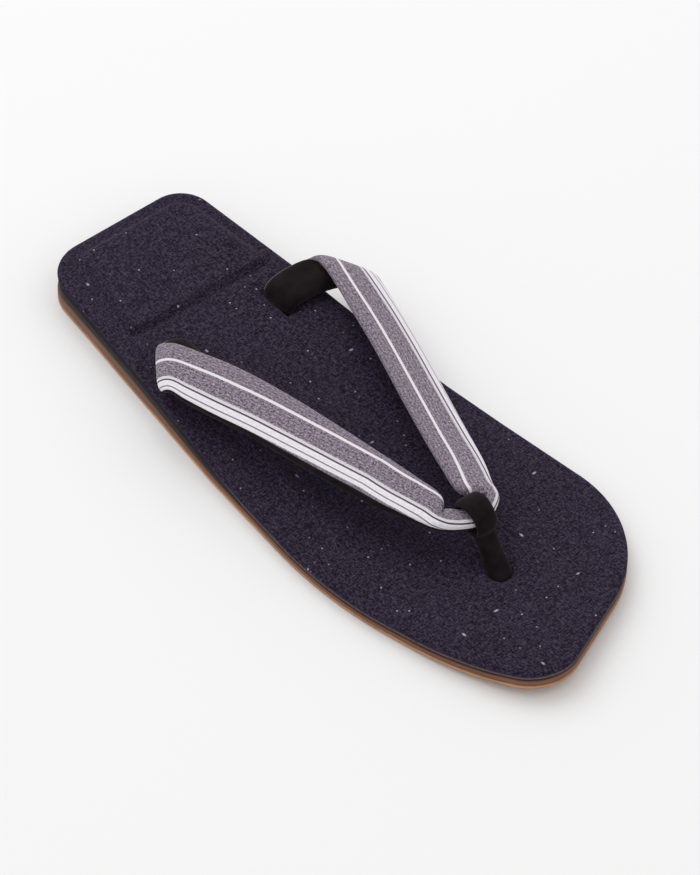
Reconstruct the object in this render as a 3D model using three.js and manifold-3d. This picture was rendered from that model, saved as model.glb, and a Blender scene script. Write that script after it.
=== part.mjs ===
// A men's zori sandal for the left foot: thin layered sole, cloth-covered padded footbed,
// padded V strap folded into the footbed at both ends, and a front loop between the toes.
// Millimetres, +Z up, +Y towards the toe, +X towards the inner (medial) side of the foot.

import * as THREE from 'three';
import { mergeVertices } from 'three/addons/utils/BufferGeometryUtils.js';
import Module from 'manifold-3d';

// ---- Driving dimensions ----------------------------------------------------------------

const TOE_POINT = 270;          // where the toe's edges would meet before rounding
const GAP = 0.3;                // clearance kept between neighbouring pieces
const OUTSOLE_THICKNESS = 1.3;
const FOOTBED_RIM = 3.3;        // height of the padded rim above the footbed's underside
const MERGE_TOLERANCE = 1e-4;

// Outline of the sole, anticlockwise from above, each corner rounded to its radius.
const OUTLINE = [
  { corner: 'heel_lateral', x: -36.8, y: -1.7, radius: 12.2 },
  { corner: 'heel_medial', x: 29.5, y: -0.3, radius: 18.2 },
  { corner: 'waist_medial', x: 47.3, y: 114.1, radius: 222 },
  { corner: 'ball_medial', x: 54.5, y: 183.1, radius: 177 },
  { corner: 'big_toe', x: 42.9, y: 238.6, radius: 130 },
  { corner: 'toe_medial', x: 27, y: TOE_POINT, radius: 17 },
  { corner: 'toe_lateral', x: -32.2, y: 243.1, radius: 58 },
  { corner: 'ball_lateral', x: -51.2, y: 212.7, radius: 52 },
  { corner: 'waist_lateral', x: -40.8, y: 106.8, radius: 300 },
];

// The heel wedge follows the same sides and stops square across the arch.
const WEDGE_FRONT = 135;
const WEDGE_OUTLINE = [
  { corner: 'heel_lateral', x: -36.8, y: -1.7, radius: 12.2 },
  { corner: 'heel_medial', x: 29.5, y: -0.3, radius: 18.2 },
  { corner: 'waist_medial', x: 47.3, y: 114.1, radius: 222 },
  { corner: 'front_medial', x: 49.5, y: WEDGE_FRONT, radius: 3 },
  { corner: 'front_lateral', x: -43.6, y: WEDGE_FRONT, radius: 3 },
  { corner: 'waist_lateral', x: -40.8, y: 106.8, radius: 300 },
];

// Heights along the sandal: how far the underside lifts, and how thick each layer is there.
const PROFILE = [
  { y: 0, spring: 0, midsole: 3.3, wedge: 3.5 },
  { y: 60, spring: 0, midsole: 3.2, wedge: 3.5 },
  { y: 95, spring: 0, midsole: 2.0, wedge: 3.1 },
  { y: 120, spring: 0, midsole: 1.4, wedge: 1.7 },
  { y: 135, spring: 0, midsole: 1.3, wedge: 0.6 },
  { y: 160, spring: 0, midsole: 1.3, wedge: 0 },
  { y: 195, spring: 0, midsole: 1.2, wedge: 0 },
  { y: 220, spring: 0.6, midsole: 1.4, wedge: 0 },
  { y: 245, spring: 2.1, midsole: 1.7, wedge: 0 },
  { y: TOE_POINT, spring: 4.6, midsole: 2.3, wedge: 0 },
];

// Raised pads under the footbed's cover.
const HEEL_PAD = { inset: 7, front: 49, height: 1.8, edge: 3 };
const ARCH_PAD = {
  inset: 11, rear: 83, rearRamp: 25, front: 171, innerFrom: 8, innerTo: 30, height: 1.8, edge: 4,
};
// The middle of the footbed stands a little over its toe, ahead of the heel pad.
const TOE_STEP = {
  inset: 28, behind: 196, ramp: 8, height: 0.7, edge: 4, rimInset: 5, rimRamp: 8, rear: 60, rearRamp: 30,
};

// Round the footbed's edge: how far in from the outline, and how high, from under to top.
const FOOTBED_EDGE = [
  { inset: 2.0, rise: 0 },
  { inset: 0.8, rise: 0.9 },
  { inset: 0.0, rise: 1.8 },
  { inset: 0.7, rise: 2.8 },
  { inset: 2.4, rise: FOOTBED_RIM },
];

// Strap: one padded band, from its slot on the outer side, over a slanting fold, forward to the
// toes, through the front loop and back the same way to the slot on the inner side. Each row
// gives the ends of one line across the band, inside the V and outside it, at half thickness.
const STRAP_THICKNESS = 4.6;
const STRAP_ROWS = [
  { at: 'outer slot, bottom', inside: [-22.3, 60.7, 10.5], outside: [-22.7, 74.7, 10.5], steps: 2 },
  { at: 'outer slot, mouth', inside: [-23.5, 60.5, 13.9], outside: [-24.5, 75.1, 13.7], steps: 2 },
  { at: 'outer return', inside: [-28.1, 60.3, 15.5], outside: [-32.1, 75.9, 15.1], steps: 2 },
  { at: 'outer return, rim', inside: [-34.1, 60.9, 16.5], outside: [-43.1, 77.7, 14.3], steps: 2 },
  { at: 'outer fold, below', inside: [-39.9, 62.5, 17.5], outside: [-53.3, 80.1, 11.5], steps: 3 },
  { at: 'outer fold, crest', inside: [-41.9, 64.9, 19.3], outside: [-55.5, 82.7, 13.1], steps: 3 },
  { at: 'outer fold, above', inside: [-40.5, 69.9, 21.1], outside: [-55.1, 85.5, 15.1], steps: 2 },
  { at: 'outer arm, rear', inside: [-37.3, 79.5, 22.1], outside: [-53.7, 90.7, 15.3], steps: 2 },
  { at: 'outer arm', inside: [-32.6, 93.3, 22.4], outside: [-50.5, 100.7, 15.2], steps: 3 },
  { at: 'outer arm', inside: [-25.5, 114.6, 22.3], outside: [-43.5, 121.1, 15], steps: 3 },
  { at: 'outer arm, middle', inside: [-12.9, 148.4, 22.2], outside: [-30.5, 155.2, 15.6], steps: 3 },
  { at: 'outer arm, front', inside: [-3.5, 174.7, 22.6], outside: [-19.5, 181.9, 18.1], steps: 3 },
  { at: 'outer nose', inside: [0.1, 188.1, 22.4], outside: [-13.1, 193.1, 20.6], steps: 2 },
  { at: 'outer nose, tip', inside: [-2.1, 191.7, 22.3], outside: [-11.9, 196.1, 21.1], steps: 2 },
  { at: 'bridge, outer corner', inside: [-6.1, 195.5, 21.7], outside: [-8.7, 200.3, 21.3], steps: 3 },
  { at: 'bridge, middle', inside: [2.3, 197.1, 21.5], outside: [2.3, 204.3, 21.1], steps: 3 },
  { at: 'bridge, inner corner', inside: [11.3, 193.7, 22.1], outside: [14.1, 199.5, 21.7], steps: 2 },
  { at: 'inner nose, tip', inside: [8.5, 191.3, 22.9], outside: [18.1, 195.7, 22.5], steps: 2 },
  { at: 'inner nose', inside: [5.5, 187.1, 23.3], outside: [19.9, 191.7, 22.6], steps: 3 },
  { at: 'inner arm, front', inside: [7, 173.6, 24.8], outside: [25.6, 178.4, 22.9], steps: 3 },
  { at: 'inner arm, middle', inside: [11, 151.4, 26.3], outside: [31.2, 154.9, 22.9], steps: 3 },
  { at: 'inner arm', inside: [16.5, 118.2, 26.6], outside: [36.8, 121.6, 22.1], steps: 3 },
  { at: 'inner arm', inside: [20.9, 95.2, 25.5], outside: [40.5, 102.7, 21.1], steps: 2 },
  { at: 'inner arm, rear', inside: [24.1, 81.7, 23.7], outside: [42.3, 93.3, 20.9], steps: 2 },
  { at: 'inner fold, above', inside: [27.3, 70.1, 21.9], outside: [42.7, 86.7, 20.3], steps: 3 },
  { at: 'inner fold, crest', inside: [29.1, 65.7, 19.7], outside: [42.9, 83.7, 18.1], steps: 3 },
  { at: 'inner fold, below', inside: [26.9, 63.5, 17.1], outside: [40.5, 81.7, 15.7], steps: 2 },
  { at: 'inner return', inside: [23.5, 62.9, 15.7], outside: [31.9, 80.7, 15.1], steps: 2 },
  { at: 'inner slot, mouth', inside: [19.3, 62.9, 13.7], outside: [21.1, 79.9, 13.5], steps: 2 },
  { at: 'inner slot, bottom', inside: [17.9, 63.1, 10.5], outside: [18.1, 79.5, 10.5], steps: 2 },
];
// The padding thins towards both edges of the band.
const STRAP_PROFILE = [
  { across: -1, thickness: 0.34 },
  { across: -0.9, thickness: 0.76 },
  { across: -0.55, thickness: 1 },
  { across: 0, thickness: 1 },
  { across: 0.55, thickness: 1 },
  { across: 0.9, thickness: 0.76 },
  { across: 1, thickness: 0.34 },
];
const SMOOTHEST_AT = 0.5;       // place across the band whose path turns most gently
const SLOT = { past: 0.9, halfWidth: 4.2, corner: 2.6, depth: 30 };

// Front loop: a flat sleeve round the bridge and a stem slanting forward into the footbed.
const LOOP = { x: 2.3, y: 200.3, z: 21.3, width: 9.6, wall: 1.9, halfDepth: 4.9, halfHeight: 2.8, corner: 2 };
const STEM = {
  steps: 6,
  sides: 16,
  path: [
    { x: 2.3, y: 204.1, z: 17.5, wide: 4.4, deep: 3.0 },
    { x: 2.7, y: 207.3, z: 14.5, wide: 4.2, deep: 3.2 },
    { x: 3.5, y: 211.7, z: 9.9, wide: 4.6, deep: 3.6 },
    { x: 4.1, y: 215.1, z: 6.3, wide: 4.7, deep: 3.8 },
    { x: 4.3, y: 216.3, z: 4.2, wide: 4.5, deep: 3.7 },
  ],
};
const STEM_HOLE_DEPTH = 6;

const COLOURS = {
  outsole: { color: 0xb98a66, roughness: 0.7 },
  midsole: { color: 0x5b3a2c, roughness: 0.6 },
  heel_wedge: { color: 0x2b2728, roughness: 0.7 },
  footbed: { color: 0x2b2738, roughness: 0.95 },
  strap: { color: 0x8d8490, roughness: 0.9 },
  front_loop: { color: 0x0d0a0c, roughness: 1 },
};

// ---- Profile along the sandal --------------------------------------------------------------

const smooth = (t) => {
  const c = Math.min(1, Math.max(0, t));
  return c * c * (3 - 2 * c);
};

function profileAt(y, column) {
  const last = PROFILE.length - 1;
  if (y <= PROFILE[0].y) return PROFILE[0][column];
  if (y >= PROFILE[last].y) return PROFILE[last][column];
  const i = PROFILE.findIndex((row) => row.y > y);
  const low = PROFILE[i - 1];
  const high = PROFILE[i];
  const t = (y - low.y) / (high.y - low.y);
  return low[column] + (high[column] - low[column]) * t;
}

const undersideZ = (x, y) => profileAt(y, 'spring');
const outsoleTopZ = (x, y) => undersideZ(x, y) + OUTSOLE_THICKNESS;
const midsoleBottomZ = (x, y) => outsoleTopZ(x, y) + GAP;
const midsoleTopZ = (x, y) => midsoleBottomZ(x, y) + profileAt(y, 'midsole');
const wedgeBottomZ = (x, y) => midsoleTopZ(x, y) + GAP;
const wedgeTopZ = (x, y) => wedgeBottomZ(x, y) + profileAt(y, 'wedge');
const footbedBottomZ = (x, y) => wedgeTopZ(x, y) + GAP;

// ---- Outline, as a closed path with rounded corners ------------------------------------------

function roundedPath(corners) {
  const path = new THREE.Path();
  const count = corners.length;
  corners.forEach((corner, i) => {
    const here = new THREE.Vector2(corner.x, corner.y);
    const before = corners[(i + count - 1) % count];
    const after = corners[(i + 1) % count];
    const toBefore = new THREE.Vector2(before.x, before.y).sub(here).normalize();
    const toAfter = new THREE.Vector2(after.x, after.y).sub(here).normalize();
    const half = Math.acos(toBefore.dot(toAfter)) / 2;
    const tangent = corner.radius / Math.tan(half);
    const start = here.clone().addScaledVector(toBefore, tangent);
    const end = here.clone().addScaledVector(toAfter, tangent);
    const middle = toBefore.clone().add(toAfter).normalize();
    const centre = here.clone().addScaledVector(middle, corner.radius / Math.sin(half));
    const turnsLeft = toAfter.cross(toBefore) > 0;
    if (i === 0) path.moveTo(start.x, start.y);
    else path.lineTo(start.x, start.y);
    path.absarc(
      centre.x,
      centre.y,
      corner.radius,
      Math.atan2(start.y - centre.y, start.x - centre.x),
      Math.atan2(end.y - centre.y, end.x - centre.x),
      !turnsLeft,
    );
  });
  path.closePath();
  return path;
}

// Points on the outline, laid out so that the four named corners fall on whole steps:
// `across` steps along heel and toe, `along` steps down each side.
function ringOf(corners, names, across, along) {
  const fine = roundedPath(corners).getSpacedPoints(1600).slice(0, -1);
  const nearest = names.map((name) => {
    const corner = corners.find((row) => row.corner === name);
    const distances = fine.map((p) => Math.hypot(p.x - corner.x, p.y - corner.y));
    return distances.indexOf(Math.min(...distances));
  });
  const ring = [];
  nearest.forEach((from, side) => {
    const to = nearest[(side + 1) % nearest.length];
    const span = (to - from + fine.length) % fine.length;
    const steps = side % 2 === 0 ? across : along;
    for (let i = 0; i < steps; i += 1) {
      ring.push(fine[(from + Math.round((span * i) / steps)) % fine.length]);
    }
  });
  return ring;
}

function insetRing(ring, inset) {
  return ring.map((p, i) => {
    const before = ring[(i + ring.length - 1) % ring.length];
    const after = ring[(i + 1) % ring.length];
    const along = new THREE.Vector2().subVectors(after, before).normalize();
    return new THREE.Vector2(p.x - along.y * inset, p.y + along.x * inset);
  });
}

function distanceInside(ring, x, y) {
  let nearest = Infinity;
  ring.forEach((a, i) => {
    const b = ring[(i + 1) % ring.length];
    const dx = b.x - a.x;
    const dy = b.y - a.y;
    const t = Math.min(1, Math.max(0, ((x - a.x) * dx + (y - a.y) * dy) / (dx * dx + dy * dy)));
    nearest = Math.min(nearest, Math.hypot(x - a.x - t * dx, y - a.y - t * dy));
  });
  return nearest;
}

// ---- Solids from rings and patches -------------------------------------------------------

function geometryFrom(triangles) {
  const positions = triangles.flatMap((triangle) => triangle.flatMap((p) => [p.x, p.y, p.z]));
  const geometry = new THREE.BufferGeometry();
  geometry.setAttribute('position', new THREE.Float32BufferAttribute(positions, 3));
  return mergeVertices(geometry, MERGE_TOLERANCE);
}

function addQuad(triangles, a, b, c, d) {
  triangles.push([a, b, c], [a, c, d]);
}

// A grid stretched between the four sides of a ring, from the lateral to the medial side.
function patchOf(ring, across, along) {
  const heel = (i) => ring[i];
  const medial = (j) => ring[(across + j) % ring.length];
  const toe = (i) => ring[2 * across + along - i];
  const lateral = (j) => ring[(2 * across + 2 * along - j) % ring.length];
  const blend = (i, j, axis) => {
    const u = i / across;
    const v = j / along;
    const sides = (1 - v) * heel(i)[axis] + v * toe(i)[axis]
      + (1 - u) * lateral(j)[axis] + u * medial(j)[axis];
    const corners = (1 - u) * (1 - v) * heel(0)[axis] + u * (1 - v) * heel(across)[axis]
      + (1 - u) * v * toe(0)[axis] + u * v * toe(across)[axis];
    return sides - corners;
  };
  const rows = [];
  for (let j = 0; j <= along; j += 1) {
    const row = [];
    for (let i = 0; i <= across; i += 1) row.push({ x: blend(i, j, 'x'), y: blend(i, j, 'y') });
    rows.push(row);
  }
  return rows;
}

const lift = (height) => (p) => new THREE.Vector3(p.x, p.y, height(p.x, p.y));

// A plate between two height functions; edge lists how the rim goes from under to top.
function plate({ ring, across, along, bottomZ, topZ, edge }) {
  const triangles = [];
  const levels = edge.map(({ inset, share }) => insetRing(ring, inset).map((p) => {
    const low = bottomZ(p.x, p.y);
    return new THREE.Vector3(p.x, p.y, low + (topZ(p.x, p.y) - low) * share);
  }));
  for (let level = 1; level < levels.length; level += 1) {
    levels[level].forEach((upper, i) => {
      const next = (i + 1) % ring.length;
      addQuad(triangles, levels[level - 1][i], levels[level - 1][next], levels[level][next], upper);
    });
  }
  const under = patchOf(insetRing(ring, edge[0].inset), across, along);
  const over = patchOf(insetRing(ring, edge[edge.length - 1].inset), across, along);
  const underPoints = under.map((row) => row.map(lift(bottomZ)));
  const overPoints = over.map((row) => row.map(lift(topZ)));
  for (let j = 0; j < along; j += 1) {
    for (let i = 0; i < across; i += 1) {
      addQuad(triangles, underPoints[j][i], underPoints[j + 1][i],
        underPoints[j + 1][i + 1], underPoints[j][i + 1]);
      addQuad(triangles, overPoints[j][i], overPoints[j][i + 1],
        overPoints[j + 1][i + 1], overPoints[j + 1][i]);
    }
  }
  return geometryFrom(triangles);
}

// ---- Booleans --------------------------------------------------------------------------------

const wasm = await Module();
wasm.setup();

function manifoldOf(geometry) {
  const bare = geometry.clone();
  bare.deleteAttribute('normal');
  bare.deleteAttribute('uv');
  const merged = mergeVertices(bare, MERGE_TOLERANCE);
  return new wasm.Manifold(new wasm.Mesh({
    numProp: 3,
    vertProperties: new Float32Array(merged.attributes.position.array),
    triVerts: new Uint32Array(merged.index.array),
  }));
}

function geometryOf(manifold) {
  const mesh = manifold.getMesh();
  const geometry = new THREE.BufferGeometry();
  geometry.setAttribute('position', new THREE.BufferAttribute(mesh.vertProperties, 3));
  geometry.setIndex(new THREE.BufferAttribute(mesh.triVerts, 1));
  return geometry;
}

// ---- Sole layers ---------------------------------------------------------------------------

const FULL_CORNERS = ['heel_lateral', 'heel_medial', 'toe_medial', 'toe_lateral'];
const WEDGE_CORNERS = ['heel_lateral', 'heel_medial', 'front_medial', 'front_lateral'];

const LAYER = { across: 8, along: 26 };
const layerRing = ringOf(OUTLINE, FULL_CORNERS, LAYER.across, LAYER.along);

const SQUARE_EDGE = [
  { inset: 0, share: 0 },
  { inset: 0, share: 1 },
];
const OUTSOLE_EDGE = [
  { inset: 0.5, share: 0 },
  { inset: 0, share: 0.35 },
  { inset: 0, share: 1 },
];

const outsole = () => plate({
  ring: layerRing, ...LAYER, bottomZ: undersideZ, topZ: outsoleTopZ, edge: OUTSOLE_EDGE,
});

const midsole = () => plate({
  ring: layerRing, ...LAYER, bottomZ: midsoleBottomZ, topZ: midsoleTopZ, edge: SQUARE_EDGE,
});

const WEDGE = { across: 8, along: 12 };

const heelWedge = () => plate({
  ring: insetRing(ringOf(WEDGE_OUTLINE, WEDGE_CORNERS, WEDGE.across, WEDGE.along), 0.3),
  ...WEDGE,
  bottomZ: wedgeBottomZ,
  topZ: wedgeTopZ,
  edge: SQUARE_EDGE,
});

// ---- Footbed -------------------------------------------------------------------------------

const FOOTBED = { across: 16, along: 42 };
const footbedRing = ringOf(OUTLINE, FULL_CORNERS, FOOTBED.across, FOOTBED.along);

// A pad swells from nothing at its edge to its full height over `edge` millimetres.
const swell = (distance, edge) => smooth(distance / edge);

function heelPadAt(y, inside) {
  return HEEL_PAD.height * swell(inside - HEEL_PAD.inset, HEEL_PAD.edge)
    * swell(HEEL_PAD.front - y, HEEL_PAD.edge);
}

function archPadAt(x, y, inside) {
  const rear = smooth((y - ARCH_PAD.rear) / ARCH_PAD.rearRamp);
  const front = swell(ARCH_PAD.front - y, ARCH_PAD.edge);
  const inner = smooth((x - ARCH_PAD.innerFrom) / (ARCH_PAD.innerTo - ARCH_PAD.innerFrom));
  return ARCH_PAD.height * swell(inside - ARCH_PAD.inset, ARCH_PAD.edge) * rear * front * inner;
}

function toeStepAt(y, inside) {
  const awayFromToe = swell(inside - TOE_STEP.inset, TOE_STEP.edge);
  const behindToe = smooth((TOE_STEP.behind - y) / TOE_STEP.ramp);
  const withinRim = swell(inside - TOE_STEP.rimInset, TOE_STEP.rimRamp);
  const aheadOfHeel = smooth((y - TOE_STEP.rear) / TOE_STEP.rearRamp);
  return TOE_STEP.height * Math.max(awayFromToe, behindToe) * withinRim * aheadOfHeel;
}

function footbedTopZ(x, y) {
  const inside = distanceInside(footbedRing, x, y);
  return footbedBottomZ(x, y) + FOOTBED_RIM
    + heelPadAt(y, inside) + archPadAt(x, y, inside) + toeStepAt(y, inside);
}

function footbedBlank() {
  const edge = FOOTBED_EDGE.map(({ inset, rise }) => ({ inset, share: rise / FOOTBED_RIM }));
  return plate({ ring: footbedRing, ...FOOTBED, bottomZ: footbedBottomZ, topZ: footbedTopZ, edge });
}

// ---- Strap -----------------------------------------------------------------------------------

// The two edges of the band as curves, and the band's rows sampled along both together.
function strapRows() {
  const edge = (side) => new THREE.CatmullRomCurve3(
    STRAP_ROWS.map((row) => new THREE.Vector3(...row[side])), false, 'centripetal',
  );
  const inside = edge('inside');
  const outside = edge('outside');
  const last = STRAP_ROWS.length - 1;
  const pointAt = (u, across) => inside.getPoint(u).lerp(outside.getPoint(u), (across + 1) / 2);
  const places = STRAP_ROWS.slice(0, -1).flatMap(({ steps }, i) => (
    Array.from({ length: steps }, (_, k) => (i + k / steps) / last)
  ));
  places.push(1);
  const delta = 0.1 / last;
  return places.map((u) => {
    const before = pointAt(Math.max(u - delta, 0), SMOOTHEST_AT);
    const along = pointAt(Math.min(u + delta, 1), SMOOTHEST_AT).sub(before);
    const across = outside.getPoint(u).sub(inside.getPoint(u));
    const normal = along.cross(across).normalize();
    return STRAP_PROFILE.map((step) => {
      const half = (STRAP_THICKNESS * step.thickness) / 2;
      return {
        top: pointAt(u, step.across).addScaledVector(normal, half),
        under: pointAt(u, step.across).addScaledVector(normal, -half),
      };
    });
  });
}

function strap(rows) {
  const triangles = [];
  const last = STRAP_PROFILE.length - 1;
  for (let r = 1; r < rows.length; r += 1) {
    const a = rows[r - 1];
    const b = rows[r];
    for (let i = 0; i < last; i += 1) {
      addQuad(triangles, a[i].top, b[i].top, b[i + 1].top, a[i + 1].top);
      addQuad(triangles, a[i].under, a[i + 1].under, b[i + 1].under, b[i].under);
    }
    addQuad(triangles, a[0].top, a[0].under, b[0].under, b[0].top);
    addQuad(triangles, a[last].top, b[last].top, b[last].under, a[last].under);
  }
  const start = rows[0];
  const end = rows[rows.length - 1];
  for (let i = 0; i < last; i += 1) {
    addQuad(triangles, start[i].top, start[i + 1].top, start[i + 1].under, start[i].under);
    addQuad(triangles, end[i].top, end[i].under, end[i + 1].under, end[i + 1].top);
  }
  return geometryFrom(triangles);
}

// A slot through the footbed round one end of the band, a little larger than the band.
function slotCutter(bottom, mouth) {
  const inside = new THREE.Vector3(...bottom.inside).lerp(new THREE.Vector3(...mouth.inside), 0.5);
  const outside = new THREE.Vector3(...bottom.outside).lerp(new THREE.Vector3(...mouth.outside), 0.5);
  const across = outside.clone().sub(inside);
  const shape = roundedRectangle(new THREE.Shape(), across.length() / 2 + SLOT.past,
    SLOT.halfWidth, SLOT.corner);
  const geometry = new THREE.ExtrudeGeometry(shape, {
    depth: SLOT.depth, bevelEnabled: false, curveSegments: 4,
  });
  const middle = inside.lerp(outside, 0.5);
  geometry.rotateZ(Math.atan2(across.y, across.x));
  geometry.translate(middle.x, middle.y, middle.z - SLOT.depth / 2);
  return geometry;
}

// ---- Front loop ------------------------------------------------------------------------------

function roundedRectangle(shape, halfDepth, halfHeight, radius) {
  const d = halfDepth - radius;
  const h = halfHeight - radius;
  shape.moveTo(halfDepth, -h);
  shape.lineTo(halfDepth, h);
  shape.absarc(d, h, radius, 0, Math.PI / 2, false);
  shape.lineTo(-d, halfHeight);
  shape.absarc(-d, h, radius, Math.PI / 2, Math.PI, false);
  shape.lineTo(-halfDepth, -h);
  shape.absarc(-d, -h, radius, Math.PI, 1.5 * Math.PI, false);
  shape.lineTo(d, -halfHeight);
  shape.absarc(d, -h, radius, 1.5 * Math.PI, 2 * Math.PI, false);
  return shape;
}

function sleeve() {
  const { halfDepth, halfHeight, wall, corner } = LOOP;
  const outer = roundedRectangle(new THREE.Shape(), halfDepth + wall, halfHeight + wall, corner + wall);
  outer.holes.push(roundedRectangle(new THREE.Path(), halfDepth, halfHeight, corner));
  const geometry = new THREE.ExtrudeGeometry(outer, {
    depth: LOOP.width, bevelEnabled: false, curveSegments: 5,
  });
  geometry.translate(0, 0, -LOOP.width / 2);
  // The shape's x becomes the sandal's y, its y becomes z, and the extrusion runs along x.
  geometry.applyMatrix4(new THREE.Matrix4().makeBasis(
    new THREE.Vector3(0, 1, 0), new THREE.Vector3(0, 0, 1), new THREE.Vector3(1, 0, 0),
  ));
  geometry.translate(LOOP.x, LOOP.y, LOOP.z);
  return geometry;
}

// A closed tube of elliptical sections down the stem, grown by `clearance` and carried straight
// on below its foot by `below`.
function stemSolid(clearance, below) {
  const foot = STEM.path[STEM.path.length - 1];
  const sections = below > 0 ? [...STEM.path, { ...foot, z: foot.z - below }] : STEM.path;
  const rings = sections.map(({ x, y, z, wide, deep }) => (
    Array.from({ length: STEM.sides }, (_, i) => {
      const angle = (2 * Math.PI * i) / STEM.sides;
      return new THREE.Vector3(
        x + (wide + clearance) * Math.cos(angle),
        y + (deep + clearance) * Math.sin(angle),
        z,
      );
    })
  ));
  const triangles = [];
  for (let r = 1; r < rings.length; r += 1) {
    rings[r].forEach((p, i) => {
      const next = (i + 1) % STEM.sides;
      addQuad(triangles, rings[r - 1][i], p, rings[r][next], rings[r - 1][next]);
    });
  }
  const head = rings[0];
  const end = rings[rings.length - 1];
  for (let i = 1; i < STEM.sides - 1; i += 1) {
    triangles.push([head[0], head[i], head[i + 1]], [end[0], end[i + 1], end[i]]);
  }
  return geometryFrom(triangles);
}

// ---- Assembly --------------------------------------------------------------------------------

const frontLoop = () => geometryOf(manifoldOf(sleeve()).add(manifoldOf(stemSolid(0, 0))));

const footbed = () => geometryOf(
  manifoldOf(footbedBlank())
    .subtract(manifoldOf(slotCutter(STRAP_ROWS.at(0), STRAP_ROWS.at(1))))
    .subtract(manifoldOf(slotCutter(STRAP_ROWS.at(-1), STRAP_ROWS.at(-2))))
    .subtract(manifoldOf(stemSolid(GAP, STEM_HOLE_DEPTH))),
);

const BUILDERS = {
  outsole,
  midsole,
  heel_wedge: heelWedge,
  footbed,
  strap: () => strap(strapRows()),
  front_loop: frontLoop,
};

const sandal = new THREE.Group();
Object.entries(BUILDERS).forEach(([name, build]) => {
  const mesh = new THREE.Mesh(build(), new THREE.MeshStandardMaterial({ ...COLOURS[name], metalness: 0 }));
  mesh.name = name;
  sandal.add(mesh);
});

// The origin is the middle of the sandal's floor plan, on the floor.
const bounds = new THREE.Box3().setFromObject(sandal);
const middle = bounds.getCenter(new THREE.Vector3());
sandal.children.forEach((mesh) => {
  mesh.geometry.translate(-middle.x, -middle.y, -bounds.min.z);
});

export default sandal;
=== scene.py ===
"""A man's zori sandal for the left foot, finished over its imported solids.

Layered leather sole, denim-covered footbed with a heel pad and an arch pad, padded striped
strap lined with velvet, and a velvet front loop. Measurements are in millimetres: x towards
the inner side of the foot, y towards the toe, z up; they turn into metres as meshes are made.
"""

import math
from collections import namedtuple

import bmesh
import bpy
import numpy as np
from mathutils import Matrix, Vector


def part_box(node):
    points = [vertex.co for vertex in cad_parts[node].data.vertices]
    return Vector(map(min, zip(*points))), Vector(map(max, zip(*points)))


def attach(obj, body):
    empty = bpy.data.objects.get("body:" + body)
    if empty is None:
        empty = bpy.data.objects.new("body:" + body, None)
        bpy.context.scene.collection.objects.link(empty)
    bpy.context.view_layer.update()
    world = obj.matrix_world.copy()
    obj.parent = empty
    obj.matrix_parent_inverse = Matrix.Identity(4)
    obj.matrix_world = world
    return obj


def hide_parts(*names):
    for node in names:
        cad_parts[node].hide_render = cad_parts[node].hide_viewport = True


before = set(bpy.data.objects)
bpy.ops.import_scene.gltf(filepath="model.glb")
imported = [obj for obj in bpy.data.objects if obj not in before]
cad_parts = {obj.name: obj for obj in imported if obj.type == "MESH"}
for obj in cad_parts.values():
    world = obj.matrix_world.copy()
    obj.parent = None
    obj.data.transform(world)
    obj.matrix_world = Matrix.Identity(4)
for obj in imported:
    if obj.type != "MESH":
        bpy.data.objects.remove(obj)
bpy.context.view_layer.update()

MM = 0.001                     # metres in a millimetre
WELD = 2e-6                    # metres: points nearer than this become one

# ---- The sole's measurements --------------------------------------------------------------

Corner = namedtuple("Corner", "name x y radius")
OUTLINE = [
    Corner("heel_lateral", -36.8, -1.7, 12.2),
    Corner("heel_medial", 29.5, -0.3, 18.2),
    Corner("waist_medial", 47.3, 114.1, 222),
    Corner("ball_medial", 54.5, 183.1, 177),
    Corner("big_toe", 42.9, 238.6, 130),
    Corner("toe_medial", 27, 270, 17),
    Corner("toe_lateral", -32.2, 243.1, 58),
    Corner("ball_lateral", -51.2, 212.7, 52),
    Corner("waist_lateral", -40.8, 106.8, 300),
]
OUTLINE_ENDS = ["heel_lateral", "heel_medial", "toe_medial", "toe_lateral"]

WEDGE_FRONT = 135
WEDGE_OUTLINE = [
    Corner("heel_lateral", -36.8, -1.7, 12.2),
    Corner("heel_medial", 29.5, -0.3, 18.2),
    Corner("waist_medial", 47.3, 114.1, 222),
    Corner("front_medial", 49.5, WEDGE_FRONT, 3),
    Corner("front_lateral", -43.6, WEDGE_FRONT, 3),
    Corner("waist_lateral", -40.8, 106.8, 300),
]
WEDGE_ENDS = ["heel_lateral", "heel_medial", "front_medial", "front_lateral"]

GAP = 0.3                      # between one layer and the next
OUTSOLE_THICKNESS = 1.3

# Along the sole: how far the outsole is off the floor, and the two layers' thicknesses.
Level = namedtuple("Level", "y spring midsole wedge")
PROFILE = [
    Level(0, 0, 3.3, 3.5),
    Level(60, 0, 3.2, 3.5),
    Level(95, 0, 2.0, 3.1),
    Level(120, 0, 1.4, 1.7),
    Level(135, 0, 1.3, 0.6),
    Level(160, 0, 1.3, 0),
    Level(195, 0, 1.2, 0),
    Level(220, 0.6, 1.4, 0),
    Level(245, 2.1, 1.7, 0),
    Level(270, 4.6, 2.3, 0),
]

# ---- The footbed's relief -----------------------------------------------------------------

RIM_HEIGHT = 3.0               # crest of the rim over the footbed's underside
MIDDLE_RISE = 0.5              # the middle stands a little over the rim
HEEL_PAD = [
    Corner("rear_lateral", -32.0, 3.6, 10),
    Corner("rear_medial", 20.6, 4.4, 9),
    Corner("front_medial", 29.3, 49.5, 3),
    Corner("front_lateral", -34.4, 49.5, 3),
]
HEEL_PAD_HEIGHT = 1.7
HEEL_PAD_FRONT = 47            # behind this the pad's edge is soft, in front of it sharp
ARCH_HEIGHT = 1.5
ARCH_PAD_SIDE = ((30.1, 84.9), (40.5, 172.9))
ARCH_PAD_FRONT = ((41.1, 173.3), (15.1, 169.1))
TOE_LINE_INSET = 28
TOE_STEP_HEIGHT = 0.55

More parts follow.
